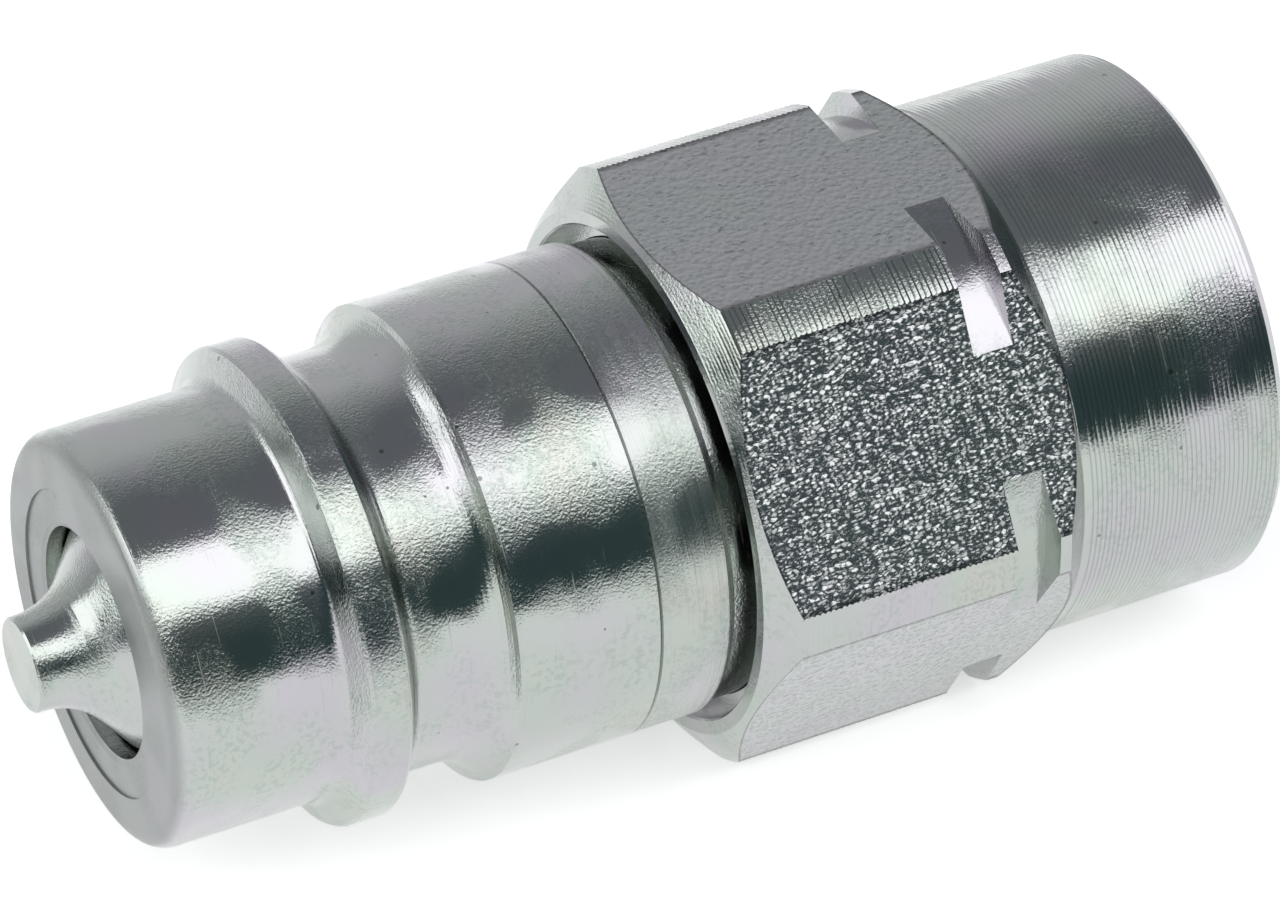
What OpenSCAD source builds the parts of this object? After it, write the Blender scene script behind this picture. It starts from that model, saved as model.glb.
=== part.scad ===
// Quick coupling plug with a spring-loaded poppet valve.
// The axis is X. The origin is on the axis, in the middle of the locking collar's land.
// The nose points to -X, the threaded port to +X, and two wrench flats face up and down.

/* [Nose] */
// Diameter of the nose
nose_d = 20.5; // [19.6:0.1:21.4]
// Length of the nose, from its face to the collar's land
nose_len = 9.25; // [8:0.05:12]
// Radius of the nose's rounded front edge
nose_edge_r = 1; // [0.4:0.1:1.4]
// Radius of the fillet between nose and collar
nose_root_r = 0.8; // [0.3:0.1:1.2]
// Slope of the collar's front face, from the axis
collar_ramp = 62; // [50:1:80]
// Diameter of the mouth
mouth_d = 11.44; // [10.8:0.02:12]
// Length of the mouth's straight wall
mouth_len = 1.5; // [1:0.1:2.5]
// Chamfer of the mouth's front edge
mouth_edge = 0.25; // [0.1:0.05:0.4]
// Diameter of the shallow dish turned in the front face
dish_d = 15.2; // [14:0.1:16.5]
// Depth of that dish
dish_depth = 0.12; // [0.05:0.01:0.3]

/* [Locking profile] */
// Diameter of the locking collar and of the guide cylinder
collar_d = 23.7; // [23.2:0.1:24.3]
// Width of the locking collar's land
collar_w = 1.9; // [1.5:0.1:3]
// Small chamfer on the collar's and the guide cylinder's edges
land_edge = 0.12; // [0.05:0.01:0.2]
// Diameter of the ball groove's floor
groove_d = 20.6; // [19.8:0.1:21.4]
// Width of the ball groove, at the collar's diameter
groove_w = 5.6; // [5.2:0.1:7]
// Fillet radius at the collar's side of the groove
groove_fillet = 0.9; // [0.5:0.1:1.2]
// Slope of the collar's rear face, from the axis
lock_slope = 60; // [45:1:75]
// Radius of the groove's ball-shaped rear side
ball_r = 2.6; // [1.8:0.1:3]

/* [Guide cylinder and band] */
// Length of the polished guide cylinder
guide_len = 7.35; // [6:0.05:10]
// Length of the turned band behind it
band_len = 4; // [3:0.1:6]
// Width and depth of the fine line between them
line_w = 0.16; // [0.1:0.02:0.3]
// Chamfer at the band's rear end
band_edge = 0.45; // [0.2:0.05:0.6]
// Gap between the band and the adapter's front face
neck_gap = 0.65; // [0.4:0.05:2]

/* [Adapter outside] */
// Width across the hexagon's flats
hex_af = 27; // [26.6:0.1:29]
// Diameter of the turned bar, over the hexagon's corners
bar_d = 30; // [29.4:0.1:31]
// Length from the front face to the end of the rear cone
hex_len = 17.1; // [16.2:0.1:24]
// Diameter of the front face's edge
hex_face_d = 26.4; // [26:0.1:26.5]
// Angle of the front chamfer, from the front face
hex_front_angle = 34; // [25:1:40]
// Angle of the rear cone, from the rear face
hex_rear_angle = 44; // [35:1:50]
// Diameter of the round rear end
rear_d = 26.9; // [26.2:0.1:27.2]
// Chamfer of the round rear end
rear_edge = 0.5; // [0.2:0.1:0.8]
// Land left between the ring groove in the corners and the rear cone
ring_land = 0.6; // [0.3:0.1:1.5]
// Width of the ring groove's floor
ring_w = 2.1; // [1:0.1:2.4]
// Diameter of the ring groove's floor
ring_d = 27.7; // [27.3:0.1:28.6]
// Axial run of the ring groove's rear wall
ring_run = 0.2; // [0.1:0.05:0.4]

/* [Adapter inside] */
// Diameter of the lead-in at the front
entry_d = 24.86; // [24.2:0.02:25.4]
// Depth of the lead-in
entry_len = 1.25; // [0.8:0.05:1.8]
// Nominal diameter of the thread between nipple and adapter
joint_thread_d = 22; // [21.6:0.1:22.2]
// Length of that thread
joint_thread_len = 5.6; // [4.8:0.1:8]
// Width of the shoulder that the thread pulls against its seat
seat_step = 0.5; // [0.3:0.1:0.8]
// Free length between the nipple's tail and the web
tail_gap = 1.25; // [0.5:0.05:3]
// Diameter of the passage between nipple and port
passage_d = 16.4; // [15:0.1:17.4]
// Thickness of the web that the passage goes through
web_len = 2.7; // [2:0.1:4]

/* [Port] */
// Diameter of the port's tapping bore
port_d = 18.64; // [17.8:0.02:18.9]
// Length of the port's tapping bore
port_len = 14; // [10:0.1:16]
// Diameter of the countersink at the port's face
port_sink_d = 21.4; // [21:0.1:22.4]

/* [Nipple inside] */
// Diameter of the nipple's bore
bore_d = 16.8; // [16:0.1:17.2]
// Angle of the valve seat, from the axis
seat_angle = 45; // [40:1:50]
// Diameter of the recess for the guide spider
spider_d = 18.8; // [18.2:0.1:19]
// Depth of the clip's groove
clip_groove = 0.4; // [0.2:0.05:0.5]
// Length of the nipple's tail behind the clip
tail_len = 0.9; // [0.6:0.1:2]

/* [Body seal] */
// Length of the neck inside the adapter that carries the seal
seal_len = 3.7; // [3.5:0.1:5]
// Thickness of the O-ring
oring_d = 1.6; // [1.3:0.05:1.7]
// Thickness of the backup ring
backup_t = 0.7; // [0.5:0.05:0.8]

/* [Poppet] */
// Length of the tip in front of the nose's face
tip_out = 3.45; // [2.5:0.05:4.5]
// Diameter of the tip's flat end
tip_d = 4.5; // [3.6:0.1:5]
// Diameter of the tip's shank, behind its rim
shank_d = 4.7; // [4:0.1:5.6]
// Straight length of the tip's shank, rim included
shank_len = 0.35; // [0.2:0.05:1]
// Radius of the flare
flare_r = 3.6; // [3:0.1:4.2]
// Steepest slope of the flare, from the axis
flare_angle = 52; // [45:1:58]
// Gap between the flare's rim and the mouth
rim_gap = 0.22; // [0.15:0.01:0.35]
// Diameter of the poppet's head
head_d = 14; // [13.6:0.1:14.8]
// Length of the head behind its cone
head_len = 1; // [0.8:0.1:2]
// Gap between the head's cone and the valve seat
head_gap = 0.35; // [0.3:0.05:0.5]
// Length of the boss that centres the spring
boss_len = 2; // [1:0.1:3]
// Diameter of the stem
stem_d = 5.2; // [4.4:0.1:5.8]
// How far the stem's end stays inside the guide
stem_short = 1; // [0.5:0.1:2]

/* [Poppet seal] */
// Thickness of the poppet's seal
poppet_seal_d = 1.5; // [1.2:0.05:1.7]
// Gap between the seal and its seat
seat_gap = 0.1; // [0.05:0.01:0.2]

/* [Spring] */
// Thickness of the spring's wire
wire_d = 1.1; // [0.8:0.05:1.2]
// Diameter of the coil, at the middle of the wire
coil_d = 9.7; // [9.4:0.1:10]
// Number of working turns
coil_turns = 8; // [6:1:9]
// Radial clearance inside the coil
coil_fit = 0.25; // [0.15:0.05:0.6]

/* [Guide] */
// Length of the hub in front of its flange
hub_front = 5; // [3:0.1:6]
// Thickness of the flange and ring
spider_t = 2.4; // [1.8:0.1:3]
// How far the hub's flange reaches past the coil
flange_over = 0.2; // [0.1:0.05:0.5]
// Radial thickness of the spider's ring
spider_ring = 1.2; // [0.8:0.1:1.4]
// Number of arms
arm_n = 3; // [3:1:4]
// Width of an arm
arm_w = 2.4; // [1.6:0.1:3]
// Thickness of the clip
clip_t = 1; // [0.8:0.1:1.4]
// Opening of the clip
clip_gap = 4; // [3:0.1:6]
// Radial width of the clip
clip_w = 1.3; // [1:0.1:1.5]

/* [Hidden] */
$fn = 96;
arc_steps = 10;
slide_fit = 0.05;       // radial clearance of a shaft in its bore
ring_fit = 0.02;        // clearance beside a ring in its groove
cut = 1;                // how far a cutter runs past what it cuts

// Stations along X, from the collar's middle
collar_front = -collar_w / 2;
face_x = collar_front - nose_len;
collar_rear = collar_w / 2;
guide_x = collar_rear + groove_w;
band_x = guide_x + guide_len;
neck_x = band_x + band_len;
hex_x = neck_x + neck_gap;
seal_x = hex_x + entry_len;
seat_x = seal_x + seal_len;
tail_x = seat_x + joint_thread_len;
clip_x = tail_x - tail_len - clip_t;
spider_x = clip_x - spider_t;
web_x = tail_x + tail_gap;
port_x = web_x + web_len;
port_face_x = port_x + port_len;
rear_x = hex_x + hex_len;

// Radii
nose_r = nose_d / 2;
collar_r = collar_d / 2;
groove_r = groove_d / 2;
thread_r = joint_thread_d / 2;
neck_r = thread_r + seat_step;
mouth_r = mouth_d / 2;
bore_r = bore_d / 2;
spider_r = spider_d / 2;
clip_r = spider_r + clip_groove;
seal_bore_r = neck_r + slide_fit;
hex_corner_r = bar_d / 2;
hex_face_r = hex_face_d / 2;
ring_r = ring_d / 2;
rear_r = rear_d / 2;
port_r = port_d / 2;
tip_r = tip_d / 2;
shank_r = shank_d / 2;
rim_r = mouth_r - rim_gap;
head_r = head_d / 2;
stem_r = stem_d / 2;
wire_r = wire_d / 2;
coil_r = coil_d / 2;
coil_core_r = coil_r - wire_r - coil_fit;

// Gland of the static seal: an O-ring with a backup ring behind it
gland_w = 1.3 * oring_d + backup_t;
gland_x = seal_x + (seal_len - gland_w) / 2;
gland_r = seal_bore_r - oring_d - 2 * ring_fit;

// Valve: the seat's cone, the head's cone parallel to it, and the seal let into the head
seat_cone_x = face_x + mouth_len;
bore_x = seat_cone_x + (bore_r - mouth_r) / tan(seat_angle);
head_cone_x = seat_cone_x - rim_gap / tan(seat_angle) + head_gap / sin(seat_angle);
head_rear_x = head_cone_x + (head_r - rim_r) / tan(seat_angle) + head_len;
seal_out = head_gap - seat_gap;
seal_mid_r = (rim_r + head_r) / 2;
seal_mid_x = head_cone_x + (seal_mid_r - rim_r) / tan(seat_angle);
seal_sink = poppet_seal_d / 2 - seal_out;
seal_ring_x = seal_mid_x + seal_sink * sin(seat_angle);
seal_ring_r = seal_mid_r - seal_sink * cos(seat_angle);
stem_end_x = spider_x + spider_t - stem_short;

// Points of an arc, as [radius, station], from angle a to angle b
function arc(r, x, rad, a, b) =
    [for (i = [0:arc_steps]) let (t = a + (b - a) * i / arc_steps) [r + rad * cos(t), x + rad * sin(t)]];

// Turns a profile of [radius, station] points about the X axis
module turned(points) {
    rotate([0, 90, 0]) rotate_extrude() polygon(points);
}

// A plain cylinder along X between two stations
module rod(r, a, b) {
    translate([a, 0, 0]) rotate([0, 90, 0]) cylinder(r = r, h = b - a);
}

// A cone along X between two stations
module cone(r1, a, r2, b) {
    translate([a, 0, 0]) rotate([0, 90, 0]) cylinder(r1 = r1, r2 = r2, h = b - a);
}

// A ring of round section
module ring(r, x, section_r) {
    translate([x, 0, 0]) rotate([0, 90, 0]) rotate_extrude() translate([r, 0]) circle(r = section_r, $fn = 48);
}

// Turned tip: nose, locking collar, ball groove, guide cylinder, band, neck and threaded tail
module nipple_body() {
    // Each fillet stays below the land that it leads up to
    root_fillet = min(nose_root_r, (collar_r - land_edge - nose_r) / (1 - cos(collar_ramp)));
    root_x = collar_front - (collar_r - nose_r - root_fillet * (1 - cos(collar_ramp))) / tan(collar_ramp)
        - root_fillet * sin(collar_ramp);
    lock_fillet = min(groove_fillet, (collar_r - land_edge - groove_r) / (1 - cos(lock_slope)));
    lock_top = groove_r + lock_fillet * (1 - cos(lock_slope));
    lock_x = collar_rear + (collar_r - lock_top) / tan(lock_slope) + lock_fillet * sin(lock_slope);
    ball_angle = acos(1 - (collar_r - groove_r) / ball_r);
    outside = concat(
        [[mouth_r, face_x + mouth_edge], [mouth_r + mouth_edge, face_x + dish_depth],
         [dish_d / 2, face_x + dish_depth], [dish_d / 2, face_x]],
        arc(nose_r - nose_edge_r, face_x + nose_edge_r, nose_edge_r, -90, 0),
        arc(nose_r + root_fillet, root_x, root_fillet, 180, 180 - collar_ramp),
        [[collar_r - land_edge, collar_front - land_edge / tan(collar_ramp)], [collar_r, collar_front + land_edge],
         [collar_r, collar_rear - land_edge], [collar_r - land_edge, collar_rear + land_edge / tan(lock_slope)]],
        arc(groove_r + lock_fillet, lock_x, lock_fillet, 180 + lock_slope, 180),
        arc(groove_r + ball_r, guide_x - ball_r * sin(ball_angle), ball_r, 180, 180 - ball_angle),
        [[collar_r, guide_x + land_edge],
         [collar_r, band_x - line_w / 2], [collar_r - line_w, band_x], [collar_r, band_x + line_w / 2],
         [collar_r, neck_x - band_edge], [neck_r, neck_x], [neck_r, gland_x], [gland_r, gland_x],
         [gland_r, gland_x + gland_w], [neck_r, gland_x + gland_w], [neck_r, seat_x], [thread_r, seat_x],
         [thread_r, tail_x - land_edge], [thread_r - land_edge, tail_x]]);
    inside = [[spider_r, tail_x], [spider_r, clip_x + clip_t], [clip_r, clip_x + clip_t], [clip_r, clip_x],
        [spider_r, clip_x], [spider_r, spider_x], [bore_r, spider_x], [bore_r, bore_x], [mouth_r, seat_cone_x]];
    color("lightsteelblue") turned(concat(outside, inside));
}

// Hexagon and round rear end, turned from bar, with the threaded port
module adapter_body() {
    front_run = tan(hex_front_angle);
    rear_run = tan(hex_rear_angle);
    cone_x = rear_x - (hex_corner_r - rear_r) * rear_run;
    ring_end = cone_x - ring_land;
    ring_x = ring_end - ring_run - ring_w;
    bar = [[0, hex_x], [hex_face_r, hex_x], [hex_corner_r, hex_x + (hex_corner_r - hex_face_r) * front_run],
        [hex_corner_r, ring_x], [ring_r, ring_x], [ring_r, ring_x + ring_w], [hex_corner_r, ring_end],
        [hex_corner_r, cone_x], [rear_r, rear_x], [0, rear_x]];
    color("silver") difference() {
        union() {
            intersection() {
                turned(bar);
                translate([hex_x - cut, 0, 0]) rotate([0, 90, 0]) rotate([0, 0, 30])
                    cylinder(r = hex_af / 2 / cos(30), h = hex_len + 2 * cut, $fn = 6);
            }
            turned([[0, rear_x], [rear_r, rear_x], [rear_r, port_face_x - rear_edge],
                [rear_r - rear_edge, port_face_x], [0, port_face_x]]);
        }
        rod(entry_d / 2, hex_x - cut, seal_x);
        rod(seal_bore_r, hex_x, seat_x);
        rod(thread_r + slide_fit, hex_x, web_x);
        rod(passage_d / 2, hex_x, port_face_x);
        rod(port_r, port_x, port_face_x + cut);
        cone(port_r, port_face_x - (port_sink_d / 2 - port_r), port_sink_d / 2 + cut, port_face_x + cut);
    }
}

// Valve with its trumpet-shaped tip, conical head with a groove for the seal, and stem
module poppet() {
    tip_x = face_x - tip_out;
    flare_x = tip_x + shank_len;
    flare_end_r = shank_r + flare_r * (1 - cos(flare_angle));
    flare_end_x = flare_x + flare_r * sin(flare_angle);
    rim_x = flare_end_x + (rim_r - flare_end_r) / tan(flare_angle);
    color("gainsboro") difference() {
        turned(concat(
            [[0, tip_x], [tip_r, tip_x], [shank_r, tip_x + (shank_r - tip_r)]],
            arc(shank_r + flare_r, flare_x, flare_r, 180, 180 - flare_angle),
            [[rim_r, rim_x], [rim_r, head_cone_x], [head_r, head_rear_x - head_len], [head_r, head_rear_x],
             [coil_core_r, head_rear_x], [coil_core_r, head_rear_x + boss_len], [stem_r, head_rear_x + boss_len],
             [stem_r, stem_end_x - land_edge], [stem_r - land_edge, stem_end_x], [0, stem_end_x]]));
        ring(seal_ring_r, seal_ring_x, poppet_seal_d / 2 + ring_fit);
    }
}

// Elastomer ring in the head's groove
module poppet_seal() {
    color("dimgray") ring(seal_ring_r, seal_ring_x, poppet_seal_d / 2);
}

// Coil spring between the poppet's head and the spider's flange, with one closed turn at each end
module poppet_spring() {
    start_x = head_rear_x + wire_r + ring_fit;
    end_x = spider_x - wire_r - ring_fit;
    turns = coil_turns + 2;
    closed = wire_d + 2 * ring_fit;
    per_turn = 20;
    sides = 8;
    pitch = (end_x - start_x - 2 * closed) / coil_turns;
    // Station of the wire's middle after t turns
    function coil_x(t) = start_x + closed * min(t, 1) + pitch * min(max(t - 1, 0), coil_turns)
        + closed * max(t - 1 - coil_turns, 0);
    function wire_point(t, a) = let (r = coil_r + wire_r * cos(a))
        [coil_x(t) + wire_r * sin(a), r * cos(360 * t), r * sin(360 * t)];
    count = turns * per_turn;
    points = [for (i = [0:count], j = [0:sides - 1]) wire_point(i / per_turn, 360 * (j + 0.5) / sides)];
    skin = [for (i = [0:count - 1], j = [0:sides - 1]) let (k = (j + 1) % sides)
        [i * sides + j, i * sides + k, (i + 1) * sides + k, (i + 1) * sides + j]];
    first = [for (j = [sides - 1:-1:0]) j];
    last = [for (j = [0:sides - 1]) count * sides + j];
    color("darkgray") polyhedron(points, concat(skin, [first, last]));
}

// Hub on arms inside a ring: guides the stem, seats the spring, lets the liquid past
module guide_spider() {
    end_x = spider_x + spider_t;
    ring_out_r = spider_r - ring_fit;
    color("darkkhaki") difference() {
        union() {
            rod(coil_core_r, spider_x - hub_front, end_x);
            rod(coil_r + wire_r + flange_over, spider_x, end_x);
            difference() {
                rod(ring_out_r, spider_x, end_x);
                rod(ring_out_r - spider_ring, spider_x - cut, end_x + cut);
            }
            for (i = [0:arm_n - 1]) rotate([360 * i / arm_n, 0, 0])
                translate([spider_x, -arm_w / 2, 0]) cube([spider_t, arm_w, ring_out_r - spider_ring / 2]);
        }
        rod(stem_r + slide_fit, spider_x - hub_front - cut, end_x + cut);
    }
}

// Open retaining ring in the groove of the nipple's tail
module guide_clip() {
    out_r = clip_r - ring_fit;
    color("slategray") difference() {
        rod(out_r, clip_x, clip_x + clip_t - ring_fit);
        rod(out_r - clip_w, clip_x - cut, clip_x + clip_t + cut);
        translate([clip_x - cut, -clip_gap / 2, 0]) cube([clip_t + 2 * cut, clip_gap, out_r + cut]);
    }
}

// Static seal between nipple and adapter
module body_oring() {
    color("black") ring(gland_r + ring_fit + oring_d / 2, gland_x + 0.65 * oring_d, oring_d / 2);
}

// Stiff ring behind the O-ring, on the side away from the pressure
module backup_ring() {
    end_x = gland_x + gland_w - ring_fit;
    color("ivory") difference() {
        rod(seal_bore_r - ring_fit, end_x - backup_t + 2 * ring_fit, end_x);
        rod(gland_r + ring_fit, gland_x, end_x + cut);
    }
}

nipple_body();
adapter_body();
poppet();
poppet_seal();
poppet_spring();
guide_spider();
guide_clip();
body_oring();
backup_ring();
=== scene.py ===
"""Quick coupling plug with a poppet valve: looks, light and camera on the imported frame.

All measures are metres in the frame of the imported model. The axis is X, with the nose at
-X and the threaded port at +X. Each section is one piece, or one group of like pieces.
"""
import math
import random

import bpy
from mathutils import Matrix, Vector


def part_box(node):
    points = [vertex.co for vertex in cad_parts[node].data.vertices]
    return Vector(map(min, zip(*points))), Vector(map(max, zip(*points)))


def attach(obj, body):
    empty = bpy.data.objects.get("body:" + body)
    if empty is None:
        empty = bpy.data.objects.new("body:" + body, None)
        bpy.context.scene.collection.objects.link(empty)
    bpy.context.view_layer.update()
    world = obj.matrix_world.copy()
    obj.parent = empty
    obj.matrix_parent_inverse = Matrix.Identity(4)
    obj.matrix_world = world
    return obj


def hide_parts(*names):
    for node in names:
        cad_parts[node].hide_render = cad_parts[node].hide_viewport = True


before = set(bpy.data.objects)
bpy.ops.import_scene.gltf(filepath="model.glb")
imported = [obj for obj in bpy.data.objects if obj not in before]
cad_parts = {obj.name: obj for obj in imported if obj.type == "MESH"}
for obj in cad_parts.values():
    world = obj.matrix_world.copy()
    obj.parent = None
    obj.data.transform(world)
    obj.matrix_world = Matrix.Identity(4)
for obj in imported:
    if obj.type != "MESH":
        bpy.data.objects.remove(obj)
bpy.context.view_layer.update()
scene = bpy.context.scene
MM = 0.001

# ---- Camera ------------------------------------------------------------------------
# A long lens, about 340 mm from the hexagon, looks down on the coupling from the
# nose's side.
SENSOR = 36
FOCAL_LENGTH = 196.93
EYE = Vector((-0.101066, -0.239370, 0.206771))
LOOK = Vector((0.355015, 0.709422, -0.608839)).normalized()
RIGHT = Vector((0.892558, -0.450905, -0.004944))
RIGHT = (RIGHT - LOOK * RIGHT.dot(LOOK)).normalized()
UP = RIGHT.cross(LOOK)

lens = bpy.data.cameras.new("camera")
lens.sensor_width = SENSOR
lens.lens = FOCAL_LENGTH
lens.clip_start = 0.01
lens.clip_end = 10
camera = bpy.data.objects.new("camera", lens)
scene.collection.objects.link(camera)
camera.matrix_world = Matrix.Translation(EYE) @ Matrix((RIGHT, UP, -LOOK)).transposed().to_4x4()
scene.camera = camera
scene.view_settings.view_transform = "Standard"

# ---- Floor and light ---------------------------------------------------------------
# The part lies on a white table top under one long softbox, above and in front of it.
# A second box stands beyond the nose. The room is dim, with a paler wall behind.
FLOOR_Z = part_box("adapter_body")[0][2]
FLOOR_SIZE = 0.5
FLOOR_MIDDLE = (0.02, 0.03, FLOOR_Z)
FLOOR_COLOUR = (0.86, 0.86, 0.86, 1)
FLOOR_SEEN = 0.55
ROOM_FRONT = (0.045, 0.075, 0.08, 1)
ROOM_ABOVE = (0.19, 0.20, 0.225, 1)
ROOM_REAR = (0.68, 0.68, 0.71, 1)
WHITE = (1, 1, 1, 1)
SOFTBOX_TILT = math.radians(57)
SOFTBOX_AWAY = 1.2
NOSE_BOX_TILT = math.radians(62)


class Socket:
    """One output of a shader node. Arithmetic on it adds Math nodes."""

    def __init__(self, paint, out):
        self.paint = paint
        self.out = out

    def math(self, operation, *values):
        return self.paint.node("ShaderNodeMath", {"operation": operation}, dict(enumerate(values)))

    def other(self, name):
        return Socket(self.paint, self.out.node.outputs[name])

    def __add__(self, value):
        return self.math("ADD", self, value)

    def __sub__(self, value):
        return self.math("SUBTRACT", self, value)

    def __rsub__(self, value):
        return self.math("SUBTRACT", value, self)

    def __mul__(self, value):
        return self.math("MULTIPLY", self, value)

    def __truediv__(self, value):
        return self.math("DIVIDE", self, value)

    def __pow__(self, value):
        return self.math("POWER", self, value)

    def __gt__(self, value):
        return self.math("GREATER_THAN", self, value)

    def __lt__(self, value):
        return self.math("LESS_THAN", self, value)

    __radd__ = __add__
    __rmul__ = __mul__

    def least(self, value):
        return self.math("MINIMUM", self, value)

    def sine(self):
        return self.math("SINE", self)

    def ramp(self, low, high):
        """0 below low, 1 above high, smooth between them."""
        return self.paint.node("ShaderNodeMapRange", {"interpolation_type": "SMOOTHSTEP"},
                               {"Value": self, "From Min": low, "From Max": high})


class Paint:
    """The node tree of one material or of the room."""

    def __init__(self, owner):
        owner.use_nodes = True
        self.owner = owner
        self.tree = owner.node_tree
        self.tree.nodes.clear()

    def node(self, kind, settings, sockets, out=0):
        made = self.tree.nodes.new(kind)
        for key, value in settings.items():
            setattr(made, key, value)
        for key, value in sockets.items():
            if isinstance(value, Socket):
                self.tree.links.new(value.out, made.inputs[key])
            else:
                made.inputs[key].default_value = value
        return Socket(self, made.outputs[out])

    def mix(self, factor, first, second, blend="MIX"):
        """Two colours, the second one by the factor."""
        return self.node("ShaderNodeMix", {"data_type": "RGBA", "blend_type": blend},
                         {0: factor, 6: first, 7: second}, 2)

    def finish(self, shader, kind="ShaderNodeOutputMaterial"):
        made = self.tree.nodes.new(kind)
        self.tree.links.new(shader.out, made.inputs["Surface"])
        return self.owner


# The lens and the steel see the table as white paper. Its own light keeps the shadow.
table = Paint(bpy.data.materials.new("white_table"))
paper = table.node("ShaderNodeBsdfDiffuse", {}, {"Color": FLOOR_COLOUR})
glow = table.node("ShaderNodeEmission", {}, {"Color": WHITE, "Strength": FLOOR_SEEN})
ray = table.node("ShaderNodeLightPath", {}, {}, "Is Camera Ray")
seen = ray + ray.other("Is Glossy Ray") + ray.other("Is Transmission Ray")
white = table.node("ShaderNodeAddShader", {}, {0: paper, 1: glow})
floor_look = table.finish(table.node("ShaderNodeMixShader", {}, {0: seen, 1: paper, 2: white}))
bpy.ops.mesh.primitive_plane_add(size=FLOOR_SIZE, location=FLOOR_MIDDLE)
ground = bpy.context.object
ground.name = "table"
ground.data.materials.append(floor_look)

scene.world = bpy.data.worlds.new("studio")
room = Paint(scene.world)
toward = room.node("ShaderNodeTexCoord", {}, {}, "Generated")
toward = room.node("ShaderNodeSeparateXYZ", {}, {0: toward}, "Z")
walls = room.mix(toward.ramp(0.3, 0.75), ROOM_FRONT, ROOM_ABOVE)
walls = room.mix(toward.other("Y").ramp(0.35, 0.85), walls, ROOM_REAR)
walls = room.node("ShaderNodeBackground", {}, {"Color": walls})
paper = room.node("ShaderNodeBackground", {}, {"Color": WHITE})
ray = room.node("ShaderNodeLightPath", {}, {}, "Is Camera Ray")
room.finish(room.node("ShaderNodeMixShader", {}, {0: ray, 1: walls, 2: paper}), "ShaderNodeOutputWorld")


def panel(name, place, turn, length, height, radiance):
    """A flat lamp that shines along its own -Z, turned in XYZ order."""
    lamp = bpy.data.lights.new(name, "AREA")
    lamp.shape = "RECTANGLE"
    lamp.size, lamp.size_y = length, height
    lamp.energy = radiance * math.pi * length * height
    made = bpy.data.objects.new(name, lamp)
    made.location = place
    made.rotation_euler = turn
    made.visible_camera = False
    scene.collection.objects.link(made)


softbox_at = (-0.1, -math.cos(SOFTBOX_TILT) * SOFTBOX_AWAY, math.sin(SOFTBOX_TILT) * SOFTBOX_AWAY)
panel("softbox", softbox_at, (math.pi / 2 - SOFTBOX_TILT, 0, 0), 3.4, 0.74, 1.85)
panel("nose_box", (-1.2, 0.30, 0.62), (0, -NOSE_BOX_TILT, 0), 0.8, 1.1, 1.9)

# ---- Nipple ------------------------------------------------------------------------
# Steel, turned from bar, zinc plated and screwed into the hexagon: nose, locking collar,
# ball groove and guide cylinder. The plating leaves it bright and mottled, with hairlines
# from turning and a matt front face, whose darker colour is painted shade.
TO_MM = 1000
NIPPLE_FACE_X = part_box("nipple_body")[0][0] * TO_MM
BAND_X = (13.9, 17.6)
ZINC = (0.465, 0.48, 0.47)
TINTS = ((1.03, 0.97, 1.05), (1.0, 1.0, 1.0), (0.97, 1.03, 0.97), (1.02, 1.02, 0.95))
TINT_FROM, TINT_TO = 0.32, 0.68
STAIN = (0.31, 0.38, 0.34, 1)
PAINTED_GROOVE_SHADOW = (0.16, 0.18, 0.18, 1)
DIRT = (0.12, 0.12, 0.10, 1)
MATT_ZINC_PAINTED_SHADE = (0.30, 0.31, 0.305, 1)
LINES_PER_MM = 9


def speckle(paint, place, size, detail=2.0):
    """Soft random grain of a size in mm, from 0 to 1."""
    return paint.node("ShaderNodeTexNoise", {}, {"Vector": place, "Scale": 1 / size, "Detail": detail})


def millimetres(paint):
    """Where a point of the piece lies, in mm."""
    place = paint.node("ShaderNodeTexCoord", {}, {}, "Object")
    return paint.node("ShaderNodeVectorMath", {"operation": "SCALE"}, {0: place, "Scale": TO_MM})


def steel(paint, shade, gloss, height):
    """Ends a material as bare metal. The height of its relief is in mm."""
    bump = paint.node("ShaderNodeBump", {}, {"Strength": 1.0, "Distance": MM, "Height": height})
    return paint.finish(paint.node("ShaderNodeBsdfPrincipled", {}, {
        "Base Color": shade, "Metallic": 1.0, "Roughness": gloss, "Normal": bump}))


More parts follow.
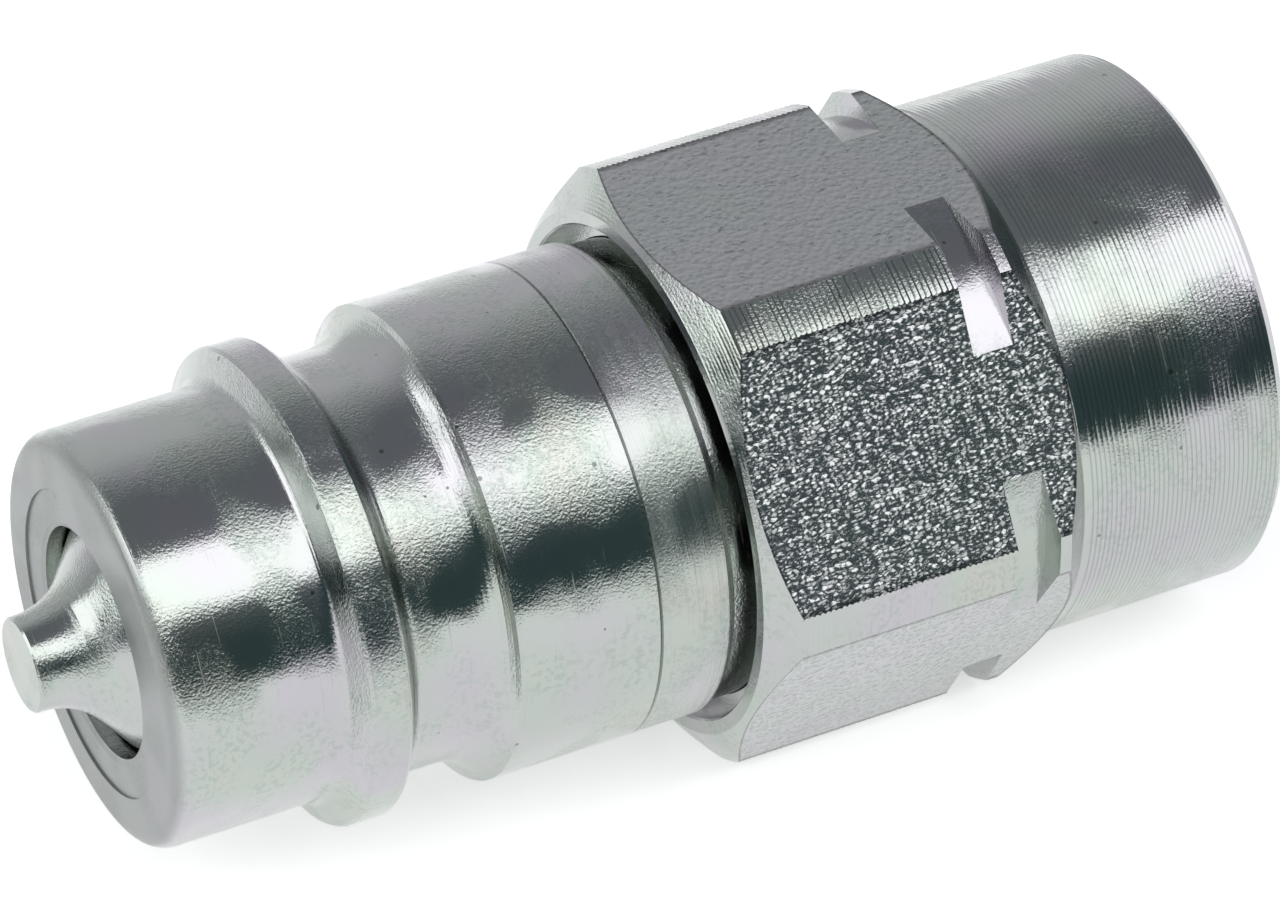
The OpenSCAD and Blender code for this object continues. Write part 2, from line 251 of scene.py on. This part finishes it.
def turned(name, colour, rough, hair, grain, band=None, face=None, feed=None):
    """Plated steel off a lathe, all lengths in mm.

    Hair and grain are the heights of tool lines and of crystals. Band is the stretch of X
    with coarser lines, face the X of a dull, rough front whose colour is also painted darker
    as shade, feed the ends and pitch of ridges whose grooves are painted dark as shade.
    """
    paint = Paint(bpy.data.materials.new(name))
    place = millimetres(paint)
    x = paint.node("ShaderNodeSeparateXYZ", {}, {0: place}, "X")
    y, z = x.other("Y"), x.other("Z")
    radius = (y * y + z * z + 0.01) ** 0.5
    along = x + 1.7 * radius

    # Lines left by the tool run round the axis, a few mm long
    lathe = paint.node("ShaderNodeCombineXYZ", {}, {
        0: along * LINES_PER_MM, 1: y / radius * 1.5, 2: z / radius * 1.5})
    lines = speckle(paint, lathe, 1, 4.0)
    lathe = paint.node("ShaderNodeCombineXYZ", {}, {
        0: along * LINES_PER_MM, 1: y / radius * 2.5, 2: z / radius * 2.5})
    marks = speckle(paint, lathe, 1, 1.0).ramp(0.70, 0.76)

    # Crystals of the plating stand out in patches
    crystals = speckle(paint, place, 0.13, 3.0)
    patch = speckle(paint, place, 3.2, 1.0).ramp(0.38, 0.62)
    height = lines * hair + crystals * (patch * 0.75 + 0.25) * grain
    if band:
        inside = (x > band[0]) * (x < band[1])
        height = height + inside * lines * (6 * hair)

    # The colour of the passivation drifts over a few mm
    drift = speckle(paint, place, 6.0, 1.0)
    shade = paint.node("ShaderNodeValToRGB", {}, {0: drift})
    stops = shade.out.node.color_ramp.elements
    stops[0].position, stops[0].color = TINT_FROM, (*TINTS[0], 1)
    stops[1].position, stops[1].color = TINT_TO, (*TINTS[-1], 1)
    for i, tint in enumerate(TINTS[1:-1], 1):
        stops.new(TINT_FROM + (TINT_TO - TINT_FROM) * i / (len(TINTS) - 1)).color = (*tint, 1)
    shade = paint.mix(1.0, (*colour, 1), shade, "MULTIPLY")

    # Greenish stains where the crystals are coarse
    stain = patch * speckle(paint, place, 0.3, 2.0).ramp(0.48, 0.62)
    shade = paint.mix(stain * 0.4, shade, STAIN)
    # Painted shade: dark lines in the grooves between feed ridges, on top of the ridges' own relief
    if feed:
        start, end, pitch = feed
        wave = (x * (2 * math.pi / pitch)).sine()
        groove_shadow_mask = wave.ramp(0.1, 0.9) * (x > start) * (x < end)
        shade = paint.mix(groove_shadow_mask * 0.4, shade, PAINTED_GROOVE_SHADOW)

    # Small pits and dirt
    pits = paint.node("ShaderNodeTexVoronoi", {}, {"Vector": place, "Scale": 0.9, "Randomness": 1.0})
    chance = paint.node("ShaderNodeSeparateColor", {}, {0: pits.other("Color")})
    pit = pits < (chance - 0.72) * 0.42
    shade = paint.mix(pit * 0.7, shade, DIRT)

    gloss = rough + patch * crystals * 0.14 + marks * 0.2
    if band:
        gloss = gloss + inside * lines * 0.25
    # The front face is rougher, and its colour is painted darker there as shade
    if face is not None:
        matt_and_painted_shade = 1 - x.ramp(face + 0.1, face + 0.6)
        gloss = gloss + matt_and_painted_shade * 0.28
        shade = paint.mix(matt_and_painted_shade * 0.75, shade, MATT_ZINC_PAINTED_SHADE)
    return steel(paint, shade, gloss, height)


def dress(name, material):
    """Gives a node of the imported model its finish."""
    slots = bpy.data.objects[name].data.materials
    slots.clear()
    slots.append(material)


dress("nipple_body", turned("nipple_zinc", ZINC, 0.11, 0.004, 0.032, BAND_X, NIPPLE_FACE_X))

# ---- Valve -------------------------------------------------------------------------
# The steel poppet with its trumpet tip, blasted to a satin grain before plating. A ring of
# moulded rubber is let into its cone, and the spring presses it against the nose's seat.
BLACK_RUBBER = (0.02, 0.02, 0.022)
RUBBER_SCALE = 9000
dress("poppet", turned("poppet_satin", ZINC, 0.15, 0.001, 0.035))


def rubber(name, colour, rough):
    """Moulded elastomer or plastic with a faint skin grain."""
    paint = Paint(bpy.data.materials.new(name))
    place = paint.node("ShaderNodeTexCoord", {}, {}, "Object")
    grain = paint.node("ShaderNodeTexNoise", {}, {"Vector": place, "Scale": RUBBER_SCALE, "Detail": 3.0})
    shade = paint.mix(grain, (*colour, 1), (*(c * 1.6 for c in colour), 1))
    bump = paint.node("ShaderNodeBump", {}, {"Strength": 0.5, "Distance": 0.01 * MM, "Height": grain})
    return paint.finish(paint.node("ShaderNodeBsdfPrincipled", {}, {
        "Base Color": shade, "Roughness": grain * 0.2 + rough, "Normal": bump}))


dress("poppet_seal", rubber("seal_rubber", BLACK_RUBBER, 0.4))

# ---- Guide, spring and clip --------------------------------------------------------
# Inside the nipple: a turned and plated spider that guides the stem, a coil of bright
# spring wire, and an open ring of dark spring steel that snaps into the nipple's tail.
SPRING_WIRE = (0.42, 0.42, 0.43)
DARK_STEEL = (0.22, 0.23, 0.26)
dress("guide_spider", turned("spider_zinc", ZINC, 0.2, 0.002, 0.008))
dress("poppet_spring", turned("spring_wire", SPRING_WIRE, 0.22, 0.0, 0.003))
dress("guide_clip", turned("clip_steel", DARK_STEEL, 0.25, 0.0, 0.004))

# ---- Static seal -------------------------------------------------------------------
# A moulded rubber O-ring and a stiff plastic ring beside it close the joint between
# nipple and hexagon.
PALE_PLASTIC = (0.5, 0.47, 0.4)
dress("body_oring", rubber("ring_rubber", BLACK_RUBBER, 0.4))
dress("backup_ring", rubber("ring_plastic", PALE_PLASTIC, 0.35))

# ---- Adapter -----------------------------------------------------------------------
# Zinc plated hexagon bar, turned at both ends and tapped for the pipe. The lathe's feed
# leaves ridges on its corners, front chamfer and round rear, with burrs where a cut ends
# at a flat. The flats keep the bar's rough skin.
low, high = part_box("adapter_body")
HEX_X, PORT_FACE_X = low[0], high[0]
FLAT = high[2]
CORNER_R = 15 * MM
FACE_R = 13.2 * MM
ENTRY_R = 12.43 * MM
REAR_R = 13.45 * MM
RING_FLOOR_R = 13.85 * MM
FRONT_RUN = (CORNER_R - FACE_R) * math.tan(math.radians(34))
REAR_RUN = (CORNER_R - REAR_R) * math.tan(math.radians(44))
CONE_END_X = HEX_X + 17.1 * MM
CONE_X = CONE_END_X - REAR_RUN
RING_END_X = CONE_X - 0.6 * MM
RING_X = RING_END_X - 2.3 * MM
RING_FLOOR_END_X = RING_X + 2.1 * MM
RELIEF_R = REAR_R - 0.06 * MM
RELIEF_X = (CONE_END_X + 0.12 * MM, CONE_END_X + 0.42 * MM)
RIDGES_X = CONE_END_X + 0.55 * MM
ENTRY_EDGE = 0.1 * MM
REAR_EDGE = 0.5 * MM
PORT_R = 9.32 * MM
PORT_MOUTH_R = 10.7 * MM
PORT_X = PORT_FACE_X - 14 * MM
PORT_ROWS = 120
WATERWAY_R = 8.2 * MM
SEAT_X, SEAT_R = 30.35 * MM, 11.05 * MM
TAIL_X, TAIL_R = 23.5 * MM, 11.55 * MM
ENTRY_END_X = 19.8 * MM
SEGMENTS = 128
FEED_CHAMFER, FEED_CORNER, FEED_REAR = 0.2 * MM, 0.29 * MM, 0.26 * MM
WELD = 1e-7


def ridges(start, end, pitch, depth, seed):
    """Stations and radii of feed ridges between two [x, r] points, three rows to a ridge."""
    dice = random.Random(seed)
    x0, r0 = start
    x1, r1 = end
    slope = Vector((x1 - x0, r1 - r0))
    inward = Vector((slope.y, -slope.x)).normalized()
    count = round(slope.length / pitch)
    rows = []
    for i in range(count):
        cut = depth * dice.uniform(0.6, 1.15)
        for t, d in ((0, 0), (0.36, cut), (0.68, cut * 0.9)):
            at = Vector(start) + slope * (i + t) / count + inward * d
            rows.append((at.x, at.y))
    return rows


# The turned outline as [x, r]: over the outside to the port's face, back through the port
front_end = HEX_X + FRONT_RUN
ridges_end = PORT_FACE_X - REAR_EDGE
profile = [(HEX_X, ENTRY_R + ENTRY_EDGE), (HEX_X, FACE_R)]
profile += ridges((HEX_X, FACE_R), (front_end, CORNER_R), FEED_CHAMFER, 0.007 * MM, 3)[1:]
profile += ridges((front_end, CORNER_R), (RING_X, CORNER_R), FEED_CORNER, 0.036 * MM, 5)
profile += [(RING_X, CORNER_R), (RING_X, RING_FLOOR_R),
            (RING_FLOOR_END_X, RING_FLOOR_R), (RING_END_X, CORNER_R),
            (CONE_X, CORNER_R), (CONE_END_X, REAR_R),
            (RELIEF_X[0], RELIEF_R), (RELIEF_X[1], RELIEF_R)]
profile += ridges((RIDGES_X, REAR_R), (ridges_end, REAR_R), FEED_REAR, 0.022 * MM, 7)
profile += [(ridges_end, REAR_R), (PORT_FACE_X, REAR_R - REAR_EDGE), (PORT_FACE_X, PORT_MOUTH_R)]
profile += [(PORT_FACE_X - (PORT_FACE_X - PORT_X) * i / PORT_ROWS, PORT_R) for i in range(1, PORT_ROWS)]
profile += [(PORT_X, PORT_R), (PORT_X, WATERWAY_R),
            (SEAT_X, WATERWAY_R), (SEAT_X, SEAT_R),
            (TAIL_X, SEAT_R), (TAIL_X, TAIL_R),
            (ENTRY_END_X, TAIL_R), (ENTRY_END_X, ENTRY_R),
            (HEX_X + ENTRY_EDGE, ENTRY_R)]

bpy.ops.object.select_all(action="DESELECT")
bpy.ops.mesh.primitive_plane_add(size=MM)
adapter = bpy.context.object
adapter.name = "adapter"
bpy.ops.object.mode_set(mode="EDIT")
bpy.ops.mesh.select_all(action="SELECT")
bpy.ops.mesh.merge(type="CENTER")
bpy.ops.transform.translate(value=(profile[0][0], 0, profile[0][1]))
for (x0, r0), (x1, r1) in zip(profile, profile[1:] + profile[:1]):
    bpy.ops.mesh.extrude_region_move(TRANSFORM_OT_translate={"value": (x1 - x0, 0, r1 - r0)})
bpy.ops.mesh.select_all(action="SELECT")
bpy.ops.mesh.remove_doubles(threshold=WELD)
bpy.ops.mesh.spin(steps=SEGMENTS, angle=2 * math.pi, center=(0, 0, 0), axis=(1, 0, 0))
bpy.ops.mesh.select_all(action="SELECT")
bpy.ops.mesh.remove_doubles(threshold=WELD)
for i in range(6):
    angle = math.radians(60 * i)
    side = Vector((0, math.sin(angle), math.cos(angle)))
    bpy.ops.mesh.select_all(action="SELECT")
    bpy.ops.mesh.bisect(plane_co=side * FLAT, plane_no=side, use_fill=True, clear_outer=True,
                        threshold=WELD)
bpy.ops.mesh.select_all(action="SELECT")
bpy.ops.mesh.normals_make_consistent(inside=False)
bpy.ops.object.mode_set(mode="OBJECT")

# The pipe thread: each point of the tapping bore moves out along a helix. It runs out
# towards the bottom and meets a countersink at the port's face.
THREAD_PITCH = 1.814 * MM
THREAD_DEPTH = 1.1 * MM
CREST_SHARE = 0.12
FLANK_SHARE = 0.76
NEAR = 0.01 * MM
mesh = adapter.data
for v in mesh.vertices:
    r = math.hypot(v.co.y, v.co.z)
    if PORT_X + NEAR < v.co.x < PORT_FACE_X - NEAR and abs(r - PORT_R) < 2 * NEAR:
        turn = math.atan2(v.co.z, v.co.y) / (2 * math.pi)
        t = (v.co.x / THREAD_PITCH + turn) % 1
        tooth = min(max((abs(2 * t - 1) - CREST_SHARE) / FLANK_SHARE, 0), 1)
        fade = min((v.co.x - PORT_X) / (1.5 * THREAD_PITCH), 1)
        grown = max(PORT_R + THREAD_DEPTH * tooth * fade, PORT_MOUTH_R - (PORT_FACE_X - v.co.x))
        v.co.y *= grown / r
        v.co.z *= grown / r

# The stretch and pitch of the rear ridges whose grooves get painted shade
rear_shadow_grooves = ((CONE_END_X + 0.5 * MM) * TO_MM, ridges_end * TO_MM, FEED_REAR * TO_MM)
turned_look = turned("adapter_zinc", ZINC, 0.12, 0.002, 0.024, feed=rear_shadow_grooves)


DASH_SHAPE = (1.0, 3.6, 3.6)
LILAC, OLIVE = (1.04, 0.97, 1.04), (0.95, 1.02, 0.98)
BURR_SHADE = (0.10, 0.10, 0.10, 1)


def bar_skin(name, colour):
    """The flats: pebbled bar skin, coarse on the sides and finer on the upper flat."""
    paint = Paint(bpy.data.materials.new(name))
    place = millimetres(paint)
    x = paint.node("ShaderNodeSeparateXYZ", {}, {0: place}, "X")
    y, z = x.other("Y"), x.other("Z")
    fine = z.ramp(13.3, 13.45)

    # Dark burrs where the lathe's cut ends at a flat
    radius = (y * y + z * z) ** 0.5
    front = (x - HEX_X * TO_MM) * ((CORNER_R - FACE_R) / FRONT_RUN) + FACE_R * TO_MM
    rear = (CONE_END_X * TO_MM - x) * ((CORNER_R - REAR_R) / REAR_RUN) + REAR_R * TO_MM
    burr = (radius - front.least(rear).least(CORNER_R * TO_MM)).ramp(-0.22, -0.06)

    # Short dark dashes drawn out along the bar, on the upper flat
    stretched = paint.node("ShaderNodeVectorMath", {"operation": "MULTIPLY"}, {0: place, 1: DASH_SHAPE})
    dashes = speckle(paint, stretched, 0.55, 1.0).ramp(0.63, 0.70) * fine

    # Pebbles
    cells = paint.node("ShaderNodeTexVoronoi", {"feature": "SMOOTH_F1"},
                       {"Vector": place, "Scale": 3.1, "Smoothness": 0.35})
    wobble = speckle(paint, place, 0.3, 3.0)
    height = (1 - cells) * 0.09 + wobble * 0.05
    drift = speckle(paint, place, 5.0, 1.0)
    lilac, olive = ((*(c * t for c, t in zip(colour, tint)), 1) for tint in (LILAC, OLIVE))
    shade = paint.mix(drift, lilac, olive)
    shade = paint.mix(burr * 0.7 + dashes * 0.45, shade, BURR_SHADE)
    return steel(paint, shade, 0.22 + fine * 0.12, height * (1 - 0.7 * fine) - dashes * 0.02)


mesh.materials.append(turned_look)
mesh.materials.append(bar_skin("bar_skin", ZINC))
for face in mesh.polygons:
    out = face.normal.copy()
    out.x = 0
    if len(face.vertices) > 20 and abs(face.center.dot(out) - FLAT) < NEAR:
        face.material_index = 1
bpy.ops.object.select_all(action="DESELECT")
adapter.select_set(True)
bpy.context.view_layer.objects.active = adapter
bpy.ops.object.shade_smooth_by_angle(angle=math.radians(20))
for face in mesh.polygons:
    face.use_smooth = face.material_index == 0
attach(adapter, "plug")
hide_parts("adapter_body")
